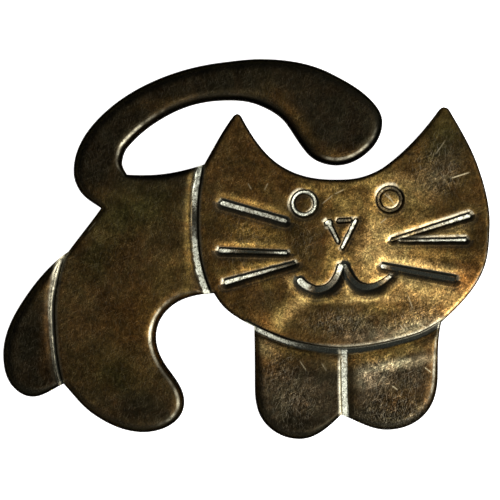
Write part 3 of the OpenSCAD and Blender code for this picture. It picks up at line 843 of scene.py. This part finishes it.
class Rest:
    """Where the drawing lies at rest: on its back, leaning on the fitting, centred over its footprint."""

    low, high = OUTLINE.points.min(0), OUTLINE.points.max(0)
    hinge = np.array(HINGE_AT) * GRID
    barrel_z = BARREL_D / 2 - BARREL_REACH
    lift = hinge[1] - low[1]
    tilt = math.atan(-barrel_z / lift) + math.asin(BARREL_D / 2 / math.hypot(lift, barrel_z))
    cos, sin = math.cos(tilt), math.sin(tilt)
    middle_x = (low[0] + high[0]) / 2
    middle_y = ((low[1] + high[1]) * cos - (FIG_DEPTH - SOLID_ROLL_H) * sin) / 2

    @classmethod
    def lay(cls, points, z):
        """Places points of the drawing, at height z, in the frame: in metres."""
        x, y = points[:, 0], points[:, 1]
        return MM * np.stack([x - cls.middle_x, y * cls.cos - z * cls.sin - cls.middle_y,
                              y * cls.sin + z * cls.cos - cls.low[1] * cls.sin], 1)


def spot(dx, dy, long, wide, heading):
    """Share of a soft patch at points dx, dy from its middle."""
    u, v = way(heading)
    return bell(np.hypot((dx * u + dy * v) / long, (dy * u - dx * v) / wide))


def tint_of(points, forms):
    """Tint of the tarnish, with the painted light of some patches, at each point of the face, and how much it
    is brushed.
    """
    x, y = (points / GRID).T
    near_tail = OUTLINE.locate(points)[2][:, 2] > 0.5
    area = {
        "paws": (forms["head_over_paws"] > 0) & (y < PAWS_BELOW) & (x > PAWS_FROM),
        "far_leg": (forms["body_over_leg"] > 0) & (y < LEG_BELOW) & (x < LEG_TO),
    }
    area["head"] = (forms["head_over_body"] < 0) & ~area["paws"] & (x > HEAD_FROM)
    area["head"] &= ~(near_tail & (y > TAIL_ABOVE))
    area["body"] = ~area["head"] & ~area["paws"] & ~area["far_leg"]
    tail = smooth((y - TAIL_TINT[0]) / (TAIL_TINT[1] - TAIL_TINT[0]))[:, None]
    tint = (1 - tail) * TINTS[FORM_TINTS["body"]] + tail * TINTS[FORM_TINTS["tail"]]
    for name in ("far_leg", "head", "paws"):
        tint[area[name]] = TINTS[FORM_TINTS[name]]
    for name, patches in PATCHES.items():
        for px, py, long, wide, heading, patch, strength in patches:
            share = (strength * spot(x - px, y - py, long, wide, heading) * area[name])[:, None]
            tint = tint * (1 - share) + np.array(TINTS[patch]) * share
    brushed = np.full(len(points), BRUSHED_LEAST)
    for px, py, long, wide, heading, strength in BRUSHED:
        brushed = np.maximum(brushed, strength * spot(x - px, y - py, long, wide, heading))
    return np.hstack([tint * TARNISH, brushed[:, None]])


def place(name, data):
    """A new object in the scene, with its data."""
    thing = bpy.data.objects.new(name, data)
    bpy.context.scene.collection.objects.link(thing)
    return thing


def make_object(name, verts, faces, tints, wear_and_light_values, mottled, on_face):
    """A smooth mesh with the attributes that the material reads."""
    mesh = bpy.data.meshes.new(name)
    mesh.from_pydata([tuple(v) for v in verts], [], faces)
    for key, values in (("tint", tints), ("wear_and_light", wear_and_light_values)):
        layer = mesh.attributes.new(key, "FLOAT_COLOR", "POINT")
        layer.data.foreach_set("color", values.astype(np.float32).ravel())
    for key, values in (("mottled", mottled), ("on_face", on_face)):
        layer = mesh.attributes.new(key, "FLOAT", "POINT")
        layer.data.foreach_set("value", values.astype(np.float32))
    mesh.polygons.foreach_set("use_smooth", [True] * len(faces))
    mesh.set_sharp_from_angle(angle=math.radians(SHARP))
    return place(name, mesh)


def make_figure():
    """The whole sheet: its face, its outer wall and its hollow back, as one closed skin."""
    top, low = face_points(), back_points()
    n, count = len(OUTLINE.points), len(top)
    z, wear_and_light, forms = face(top)
    low_z, inside = back(low)
    verts = [Rest.lay(top, z)]
    verts += [Rest.lay(OUTLINE.points, RIM_WEAR + (z[:n] - RIM_WEAR) * level) for level in WALL_ROWS]
    verts.append(Rest.lay(low, low_z))
    faces = fill(top, n)
    above = 0
    for row in range(len(WALL_ROWS) + 1):
        below = count + row * n
        faces += [(above + i, below + i, below + (i + 1) % n, above + (i + 1) % n) for i in range(n)]
        above = below
    faces += [tuple(above + i for i in reversed(f)) for f in fill(low, n)]

    # The wall is half as bright as the edge above it and dark with tarnish and painted shade, and the back is
    # pale along its rim and darker along the foot of the hollow's wall
    tints = tint_of(top, forms)
    tints[:, :3] *= 1 - EDGE_DARK * wear_and_light["edge"][:, None]
    wall_tints = tints[:n] * 0.5 + np.array((*TINTS["black"], 0)) * 0.5
    on_rim = smooth((SHEET_T - inside) / 0.2)[:, None]
    back_tints = on_rim * (*TINTS["ash"], 0.5) + (1 - on_rim) * (*TINTS["grey"], 0.3)
    back_darkening = smooth(1 - np.abs(inside - SHEET_T - 0.25) / 0.5)[:, None]
    face_wear_and_light = np.stack([wear_and_light[kind] for kind in ("silver", "patina_and_shade", "cream", "painted_glow")], 1)
    wall_wear_and_light = np.tile([0, 0.85, 0, 0], (n, 1))

    # Bright and brushed places are mottled fully, and dark ones less
    thin = smooth(tints[:, 0] / 0.012 - 1)
    bright = smooth(tints[:, 0] / 0.05 - 0.6)
    brushed = smooth((tints[:, 3] - 0.3) / 0.4)
    mottled = np.full(count + len(WALL_ROWS) * n + len(low), 0.5)
    mottled[:count] = np.maximum(0.35 + 0.25 * thin, np.maximum(bright, brushed))
    figure = make_object(
        "cat_sheet", np.vstack(verts), faces,
        np.vstack([tints] + [wall_tints] * len(WALL_ROWS) + [back_tints]),
        np.vstack([face_wear_and_light] + [wall_wear_and_light] * len(WALL_ROWS) + [back_darkening * (0, 0.7, 0, 0)]),
        mottled, np.arange(len(mottled)) < count)
    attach(figure, "root")
    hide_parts("cat_figure")
    return figure


class Nodes:
    """Short calls for the nodes of one material."""

    def __init__(self, name):
        self.material = bpy.data.materials.new(name)
        self.material.use_nodes = True
        self.tree = self.material.node_tree
        self.tree.nodes.clear()

    def add(self, kind, inputs=None, **settings):
        node = self.tree.nodes.new(kind)
        for key, value in settings.items():
            setattr(node, key, value)
        for key, value in (inputs or {}).items():
            if isinstance(value, bpy.types.NodeSocket):
                self.tree.links.new(value, node.inputs[key])
            else:
                node.inputs[key].default_value = value
        return node

    def attribute(self, name):
        return self.add("ShaderNodeAttribute", attribute_name=name).outputs

    def math(self, operation, a, b=0.0):
        return self.add("ShaderNodeMath", {0: a, 1: b}, operation=operation).outputs[0]

    def times(self, a, *factors):
        for factor in factors:
            a = self.math("MULTIPLY", a, factor)
        return a

    def most(self, a, *others):
        for other in others:
            a = self.math("MAXIMUM", a, other)
        return a

    def mix(self, share, a, b, blend="MIX"):
        """Mixes colours a and b. A colour is a socket or three numbers."""
        a, b = ((*c, 1) if isinstance(c, tuple) else c for c in (a, b))
        mixed = self.add("ShaderNodeMix", {0: share, 6: a, 7: b}, data_type="RGBA", blend_type=blend)
        return mixed.outputs[2]

    def by(self, colour, factor, share=1.0):
        """A colour multiplied by another colour or by a value, as far as the share says."""
        return self.mix(share, colour, factor, "MULTIPLY")

    def span(self, value, low, high, to_low=0.0, to_high=1.0):
        """Maps low to high of a value onto another range, with a soft start and end."""
        ends = {"From Min": low, "From Max": high, "To Min": to_low, "To Max": to_high}
        return self.add("ShaderNodeMapRange", {"Value": value, **ends},
                        interpolation_type="SMOOTHSTEP").outputs[0]

    def noise(self, where, size, detail=4.0, rough=0.6, bend=0.0):
        """Noise whose main forms are about size millimetres across."""
        return self.add("ShaderNodeTexNoise", {
            "Vector": where, "Scale": 1 / (size * MM), "Detail": detail, "Roughness": rough,
            "Distortion": bend}).outputs["Fac"]

    def stretched(self, where, heading, along, across):
        """Coordinates in which noise of size 1 runs along a heading as fine lines, in millimetres."""
        turned = self.add("ShaderNodeMapping", {
            "Vector": where, "Rotation": (0, 0, -math.radians(heading))})
        return self.add("ShaderNodeMapping", {
            "Vector": turned.outputs[0], "Scale": (1 / along, 1 / across, 1 / across)}).outputs[0]

    def scratches(self, where, heading, along, across, amount):
        """Thin broken scratches along a heading: 0 to 1."""
        lines = self.noise(self.stretched(where, heading, along, across), 1, 2, 0.5, 0.12)
        return self.span(lines, 0.72 - amount, 0.80 - amount)

    def veins(self, where, size, width, bend):
        """Thin wandering lines between forms about size millimetres across: 0 to 1."""
        away = self.math("ABSOLUTE", self.math("SUBTRACT", self.noise(where, size, 2, 0.6, bend), 0.5))
        return self.span(away, width * 0.4, width, 1, 0)

    def pits(self, where, size, reach):
        """Small round pits about size millimetres apart: 0 to 1."""
        cell = self.add("ShaderNodeTexVoronoi", {"Vector": where, "Scale": 1 / (size * MM)})
        return self.span(cell.outputs["Distance"], reach * 0.5, reach, 1, 0)

    def hairline(self, where, a, b):
        """One straight scratch from a to b, given on the grid: 0 to 1."""
        p, q = (Rest.lay(np.array([end]) * GRID, np.array([FIG_DEPTH]))[0] for end in (a, b))
        middle, span = (p + q) / 2, q - p
        placed = self.add("ShaderNodeMapping", {
            "Vector": where, "Location": tuple(middle), "Rotation": (0, 0, math.atan2(span[1], span[0])),
            "Scale": (math.hypot(*span[:2]) / 2, SCRATCH_W * MM, 1)}, vector_type="TEXTURE")
        along, across, _ = self.add("ShaderNodeSeparateXYZ", {0: placed.outputs[0]}).outputs
        on = self.span(self.math("ABSOLUTE", across), 0.4, 1.0, 1, 0)
        return self.times(on, self.span(self.math("ABSOLUTE", along), 0.5, 1.0, 1, 0))

    def metal(self, colour, rough, relief, strength, distance, edge_tint=(1, 1, 1, 1)):
        """Ends the material as a metal with fine relief."""
        bump = self.add("ShaderNodeBump", {"Strength": strength, "Distance": distance, "Height": relief})
        shader = self.add("ShaderNodeBsdfPrincipled", {
            "Base Color": colour, "Metallic": 1.0, "Roughness": rough, "Normal": bump.outputs[0],
            "Specular Tint": edge_tint})
        self.add("ShaderNodeOutputMaterial", {"Surface": shader.outputs[0]})
        return self.material


def tarnished_silver():
    n = Nodes("tarnished_silver")
    where = n.add("ShaderNodeTexCoord").outputs["Object"]
    tints, wear_and_light = n.attribute("tint"), n.attribute("wear_and_light")
    tint, brushed_here = tints["Color"], tints["Alpha"]
    silver, patina_and_shade, cream = n.add("ShaderNodeSeparateColor", {0: wear_and_light["Color"]}).outputs
    painted_glow = wear_and_light["Alpha"]
    mottled, on_face = (n.attribute(name)["Fac"] for name in ("mottled", "on_face"))

    clouds = n.noise(where, 4.0, 3, 0.6, 0.5)
    mottle = n.noise(where, 1.1, 5, 0.7, 0.4)
    specks = n.noise(where, 0.22, 5, 0.75)
    grain = n.noise(where, 0.15, 2, 0.65)
    brushed = n.noise(n.stretched(where, 72, 1.3, 0.12), 1, 3, 0.6, 0.3)
    crossed = n.noise(n.stretched(where, 25, 1.3, 0.10), 1, 3, 0.6, 0.3)
    blotches = n.noise(where, 0.55, 4, 0.7, 0.5)

    # The tint, brightened to gold where the painted glow lies, darkened and brightened by each pattern: the
    # pattern, from where to where in it, the factors there, and the share
    colour = n.by(tint, (2.8, 2.8, 2.7), painted_glow)
    cross_share = n.span(brushed_here, 0.2, 0.8, 0.25, 1.0)
    for pattern, low, high, dark, bright, share in (
            (clouds, 0.32, 0.68, 0.66, 1.34, 1.0), (mottle, 0.34, 0.64, 0.6, 1.42, mottled),
            (specks, 0.36, 0.64, 0.5, 1.58, mottled), (grain, 0.36, 0.64, 0.7, 1.33, mottled),
            (crossed, 0.38, 0.62, 0.6, 1.5, cross_share), (brushed, 0.4, 0.66, 0.5, 2.0, brushed_here),
            (blotches, 0.36, 0.64, 0.62, 1.45, brushed_here)):
        colour = n.by(colour, n.span(pattern, low, high, dark, bright), share)

    # Dark and bright veins and pits, greener and redder places, rust, and dark scratches
    patchy = n.span(n.noise(where, 2.6, 3, 0.6), 0.42, 0.6)
    dark_lines = n.most(n.veins(where, 0.9, 0.05, 1.2), n.pits(where, 0.42, 0.2))
    colour = n.by(colour, (0.3, 0.27, 0.24), n.times(dark_lines, n.span(patchy, 0, 1, 0.15, 0.6)))
    bright_lines = n.most(n.veins(where, 1.5, 0.022, 0.8), n.pits(where, 0.55, 0.12))
    bright_lines = n.times(bright_lines, n.span(brushed_here, 0.2, 0.9, 0.08, 0.5))
    colour = n.by(colour, (2.6, 2.5, 2.4), bright_lines)
    redder = n.span(n.noise(where, 2.4, 4, 0.65, 0.6), 0.38, 0.62)
    colour = n.by(colour, n.mix(redder, (0.96, 1.02, 0.97), (1.06, 0.97, 0.87)))
    rust = n.span(n.noise(where, 1.7, 5, 0.7, 0.6), 0.57, 0.7, 0, 0.25)
    colour = n.by(colour, (1.35, 0.8, 0.5), rust)
    cuts = n.most(n.scratches(where, 80, 0.9, 0.07, 0.13), n.scratches(where, 14, 1.3, 0.07, 0.12))
    colour = n.by(colour, (0.4, 0.37, 0.34), n.times(cuts, n.span(brushed_here, 0.2, 0.9, 0.15, 0.8)))

    # Bright scratches: fine ones wherever it is brushed, and the single ones on the face
    fine = n.most(*(n.scratches(where, *kind) for kind in (
        (68, 1.0, 0.09, 0.11), (24, 1.6, 0.08, 0.09), (-52, 1.1, 0.08, 0.085), (96, 1.0, 0.08, 0.125))))
    pale = n.mix(0.3, n.by(colour, (2.5, 2.4, 2.3)), (0.42, 0.37, 0.26))
    colour = n.mix(n.times(fine, n.span(brushed_here, 0.2, 0.9, 0.1, 0.95)), colour, pale)
    for ax, ay, bx, by, strength in HAIRLINES:
        line = n.hairline(where, (ax, ay), (bx, by))
        colour = n.mix(n.times(line, n.times(on_face, strength)), colour, SCRATCH)

    # Patina and painted shade, worn edges and painted highlights, and torn silver that is partly a painted
    # reflection, each broken up
    patina_and_shade_share = n.times(patina_and_shade, 1.05, n.span(specks, 0.25, 0.45, 0.94, 1.0))
    colour = n.mix(n.math("MINIMUM", patina_and_shade_share, 1.0), colour, PATINA_AND_SHADE)
    worn_highlight = n.times(cream, n.span(mottle, 0.38, 0.5, 0.4, 1.0), n.span(specks, 0.36, 0.5, 0.5, 1.0))
    colour = n.mix(worn_highlight, colour, WORN_HIGHLIGHT)
    torn = n.times(n.span(specks, 0.4, 0.52, 0.2, 1.0), n.span(mottle, 0.38, 0.5, 0.4, 1.0))
    jagged = n.math("ADD", silver, n.times(n.math("SUBTRACT", specks, 0.5), 1.3))
    silver_share = n.times(silver, torn, n.span(jagged, 0.15, 0.5, 0.3, 1.0))
    colour = n.mix(silver_share, colour, n.mix(grain, *TORN))

    rough = n.math("SUBTRACT", n.span(mottle, 0.3, 0.7, 0.4, 0.26), n.times(fine, 0.08))
    relief = n.times(n.math("SUBTRACT", grain, 0.5), 0.4)
    relief = n.math("ADD", relief, n.times(specks, 0.5))
    relief = n.math("SUBTRACT", relief, n.times(fine, 0.3))
    return n.metal(colour, rough, relief, 0.5, 0.00004, (0.25, 0.23, 0.2, 1))


def pin_silver():
    n = Nodes("pin_silver")
    where = n.add("ShaderNodeTexCoord").outputs["Object"]
    mottle = n.noise(where, 0.9, 5, 0.65, 0.3)
    grain = n.noise(where, 0.12, 3, 0.7)
    lines = n.scratches(where, 4, 2.5, 0.05, 0.06)
    colour = n.mix(n.span(mottle, 0.35, 0.68), (0.62, 0.58, 0.50), (0.22, 0.17, 0.10))
    colour = n.mix(n.times(lines, 0.4), colour, (0.8, 0.78, 0.72))
    rough = n.span(mottle, 0.3, 0.7, 0.24, 0.4)
    relief = n.math("SUBTRACT", grain, n.times(lines, 0.5))
    return n.metal(colour, rough, relief, 0.4, 0.00002)


def pale_floor():
    n = Nodes("pale_floor")
    shader = n.add("ShaderNodeBsdfPrincipled", {
        "Base Color": (0.92, 0.92, 0.92, 1), "Roughness": 0.9,
        "Emission Color": (1, 1, 1, 1), "Emission Strength": FLOOR_GLOW})
    n.add("ShaderNodeOutputMaterial", {"Surface": shader.outputs[0]})
    return n.material


def make_floor():
    mesh = bpy.data.meshes.new("floor")
    corners = [(x * FLOOR_HALF, y * FLOOR_HALF, -FLOOR_DROP) for x, y in ((-1, -1), (1, -1), (1, 1), (-1, 1))]
    mesh.from_pydata(corners, [], [(0, 1, 2, 3)])
    floor = place("floor", mesh)
    floor.data.materials.append(pale_floor())


def make_light(name, azimuth, elevation, distance, size, radiance):
    """A soft square light, aimed at the brooch from a direction given in degrees."""
    data = bpy.data.lights.new(name, "AREA")
    data.shape = "SQUARE"
    data.size = size
    data.energy = radiance * math.pi * size * size
    light = place(name, data)
    a, e = math.radians(azimuth), math.radians(elevation)
    away = Vector((math.cos(a) * math.cos(e), math.sin(a) * math.cos(e), math.sin(e)))
    light.location = away * distance
    light.rotation_euler = away.to_track_quat("Z", "Y").to_euler()


def make_lights():
    """The key light, and a world that glows more on that light's side."""
    world = bpy.data.worlds.new("studio")
    world.use_nodes = True
    tree = world.node_tree
    way_out = tree.nodes.new("ShaderNodeTexCoord").outputs["Generated"]
    lean = tree.nodes.new("ShaderNodeVectorMath")
    lean.operation = "DOT_PRODUCT"
    lean.inputs[1].default_value = (*LIGHT_WAY, 0)
    tree.links.new(way_out, lean.inputs[0])
    glow = tree.nodes.new("ShaderNodeMapRange")
    glow.interpolation_type = "SMOOTHSTEP"
    tree.links.new(lean.outputs["Value"], glow.inputs["Value"])
    for key, value in zip(("From Min", "From Max", "To Min", "To Max"), (*AMBIENT_TURN, *AMBIENT)):
        glow.inputs[key].default_value = value
    tree.links.new(glow.outputs[0], tree.nodes["Background"].inputs["Strength"])
    tree.nodes["Background"].inputs["Color"].default_value = (1, 1, 1, 1)
    bpy.context.scene.world = world
    make_light("key_light", *KEY_LIGHT)


def make_camera():
    """A camera straight above the sheet, at the angle of the photograph."""
    aim = Rest.lay(np.array([VIEW_MIDDLE]), np.array([VIEW_HEIGHT]))[0]
    right, up = Vector((1, 0, 0)), Vector((0, Rest.cos, Rest.sin))
    back_way = right.cross(up)
    data = bpy.data.cameras.new("camera")
    data.sensor_width = SENSOR_W
    data.lens = SENSOR_W * VIEW_DISTANCE / VIEW_WIDTH
    data.clip_start = 0.01
    camera = place("camera", data)
    matrix = Matrix((right, up, back_way)).transposed().to_4x4()
    matrix.translation = Vector(aim) + back_way * VIEW_DISTANCE * MM
    camera.matrix_world = matrix
    bpy.context.scene.camera = camera


figure = make_figure()
figure.data.materials.append(tarnished_silver())
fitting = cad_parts["pin_fitting"]
fitting.data.materials.clear()
fitting.data.materials.append(pin_silver())
make_floor()
make_lights()
make_camera()
bpy.context.scene.view_settings.view_transform = "Standard"
